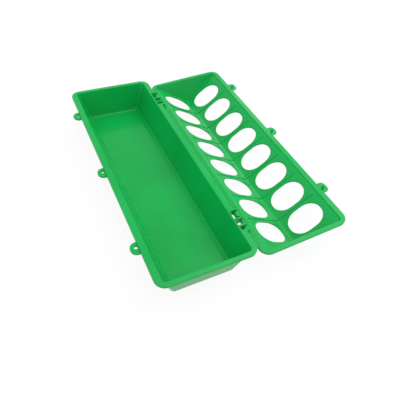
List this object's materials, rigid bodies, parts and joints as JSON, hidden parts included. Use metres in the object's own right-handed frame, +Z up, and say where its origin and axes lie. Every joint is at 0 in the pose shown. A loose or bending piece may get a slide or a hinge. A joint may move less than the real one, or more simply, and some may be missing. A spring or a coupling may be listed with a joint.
{
  "type": "flip-top trough feeder",
  "caption": "Long open plastic feed trough with a hinged gabled grille cover, folded open, with oval feeding holes and snap latch pegs.",
  "frame": {"origin": "middle of the tray's flat base, on the ground", "axes": "+Z up, +X across the tray towards the hinges and the open cover, +Y along the tray"},
  "size_m": [0.3698, 0.5, 0.0632],
  "materials": {
    "green_plastic": "glossy injection-moulded polypropylene, one green throughout, fine handling marks"
  },
  "bodies": {
    "tray": {"tray_pan": "green_plastic", "tray_rim": "green_plastic", "tray_lip": "green_plastic", "tray_hinge_plates_near": "green_plastic", "tray_hinge_plates_far": "green_plastic", "hinge_pins_near": "green_plastic", "hinge_pins_far": "green_plastic", "latch_eye_1": "green_plastic", "latch_eye_2": "green_plastic", "latch_eye_3": "green_plastic"},
    "cover": {"cover_rim": "green_plastic", "cover_lip": "green_plastic", "cover_slope_hinge_side": "green_plastic", "cover_slope_latch_side": "green_plastic", "cover_end_near": "green_plastic", "cover_end_far": "green_plastic", "cover_hooks_near": "green_plastic", "cover_hooks_far": "green_plastic", "latch_peg_1": "green_plastic", "latch_peg_2": "green_plastic", "latch_peg_3": "green_plastic"}
  },
  "joints": [
    {"name": "cover_hinge", "type": "hinge", "parent": "tray", "child": "cover", "pos_m": [0.0879, 0, 0.0517], "axis": [0, -1, 0], "range_deg": [0, 175.72]}
  ]
}
